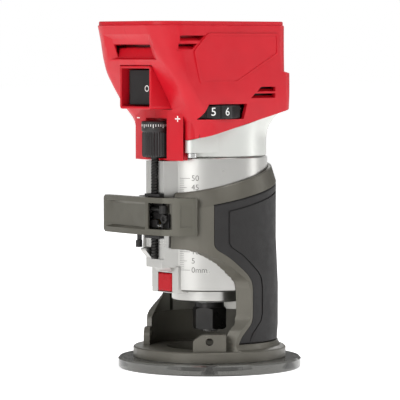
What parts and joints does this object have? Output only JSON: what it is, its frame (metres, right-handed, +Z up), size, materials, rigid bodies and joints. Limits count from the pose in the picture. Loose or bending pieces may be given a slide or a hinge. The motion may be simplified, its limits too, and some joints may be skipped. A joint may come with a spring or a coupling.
{
  "type": "trim router",
  "caption": "Cordless trim router in a clamp base with lever lock and micro-adjusting knob, rocker switch, speed dial and collet.",
  "frame": {"origin": "centre of the bounding box at the underside of the sub-base; the spindle axis is 4.85 mm behind it, at x = 0, y = 0.00485", "axes": "+Z up along the spindle axis, away from the work; -Y is the front, with the switch and the clamp lever; +X is the side with the speed dial"},
  "size_m": [0.1016, 0.1112, 0.191],
  "materials": {
    "red_plastic": "moulded red glass-filled nylon, satin",
    "black_plastic": "moulded black plastic, fine texture",
    "grip_rubber": "soft black overmould, matt",
    "smoked_plastic": "smoked clear polycarbonate",
    "painted_casting": "grey-bronze powder coat on cast aluminium",
    "silver_casting": "silver paint on cast aluminium",
    "machined_aluminium": "turned, fine circumferential tool marks",
    "lever_metal": "dark grey painted zinc casting",
    "steel": "zinc-plated steel",
    "dark_steel": "black-oxide steel",
    "brass": "brass",
    "windings": "enamelled copper on laminations",
    "board": "potted electronics",
    "clear_lens": "clear lens",
    "lead_insulation": "silicone insulation",
    "button_red": "moulded red button"
  },
  "bodies": {
    "base": {"base_casting": "painted_casting", "grip_overmold": "grip_rubber", "sub_base": "smoked_plastic", "sub_base_screw_1": "steel", "sub_base_screw_2": "steel", "sub_base_screw_3": "steel", "sub_base_screw_4": "steel", "tension_bolt": "steel", "tension_nut": "steel", "lever_pin": "steel", "adjust_carrier": "black_plastic", "carrier_screw": "steel"},
    "lever": {"clamp_lever": "lever_metal"},
    "release": {"release_slider": "black_plastic", "half_nut": "brass", "release_spring": "steel"},
    "motor": {"motor_housing": "machined_aluminium", "upper_collar": "silver_casting", "housing_right": "red_plastic", "housing_left": "red_plastic", "switch_bezel": "red_plastic", "switch_body": "black_plastic", "control_board": "board", "terminal_block": "black_plastic", "terminal_blade_1": "brass", "terminal_blade_2": "brass", "terminal_blade_3": "brass", "stator": "windings", "upper_bearing": "steel", "lower_bearing": "steel", "bearing_retainer": "silver_casting", "led_lens_1": "clear_lens", "led_lens_2": "clear_lens", "collar_screw_1": "steel", "collar_screw_2": "steel", "collar_screw_3": "steel", "collar_screw_4": "steel", "housing_screw_1": "steel", "housing_screw_2": "steel", "housing_screw_3": "steel", "housing_screw_4": "steel", "dial_potentiometer": "steel", "phase_lead_1": "lead_insulation", "phase_lead_2": "lead_insulation", "phase_lead_3": "lead_insulation"},
    "switch": {"rocker": "black_plastic"},
    "dial": {"speed_dial": "black_plastic"},
    "lock": {"spindle_lock_button": "button_red", "lock_spring": "steel"},
    "spindle": {"spindle_shaft": "steel", "rotor": "dark_steel", "fan": "black_plastic", "collet": "steel"},
    "collet_clamp": {"collet_nut": "dark_steel"},
    "adjuster": {"adjust_knob": "black_plastic", "adjust_screw": "dark_steel"}
  },
  "joints": [
    {"name": "lever_hinge", "type": "hinge", "parent": "base", "child": "lever", "pos_m": [0.0236, -0.02655, 0.08525], "axis": [0, 0, 1], "range_deg": [0, 85]},
    {"name": "release_slide", "type": "slide", "parent": "base", "child": "release", "axis": [1, 0, 0], "range_m": [0, 0.0025], "stiffness_N_per_m": 600, "springref_m": -0.002, "deforming": ["release_spring"]},
    {"name": "motor_slide", "type": "slide", "parent": "base", "child": "motor", "axis": [0, 0, 1], "range_m": [-0.015, 0.005]},
    {"name": "adjust_turn", "type": "hinge", "parent": "motor", "child": "adjuster", "pos_m": [0, -0.03415, 0.1], "axis": [0, 0, 1], "range_deg": [-3420, 1140]},
    {"name": "rocker_tilt", "type": "hinge", "parent": "motor", "child": "switch", "pos_m": [0, -0.03915, 0.15525], "axis": [0, 0, 1], "range_deg": [-14, 0]},
    {"name": "dial_turn", "type": "hinge", "parent": "motor", "child": "dial", "pos_m": [0.0164, -0.01055, 0.142], "axis": [0, 0, 1], "range_deg": [-150, 120]},
    {"name": "lock_press", "type": "slide", "parent": "motor", "child": "lock", "axis": [0, 1, 0], "range_m": [0, 0.003], "stiffness_N_per_m": 500, "springref_m": -0.001, "deforming": ["lock_spring"]},
    {"name": "spindle_spin", "type": "hinge", "parent": "motor", "child": "spindle", "pos_m": [0, 0.00485, 0.08], "axis": [0, 0, 1], "continuous": true},
    {"name": "collet_nut_turn", "type": "hinge", "parent": "spindle", "child": "collet_clamp", "pos_m": [0, 0.00485, 0.029], "axis": [0, 0, 1], "range_deg": [-720, 0]}
  ],
  "couplings": [
    {"joint": "adjust_turn", "follows": "motor_slide", "rad_per_m": 3957.9}
  ]
}
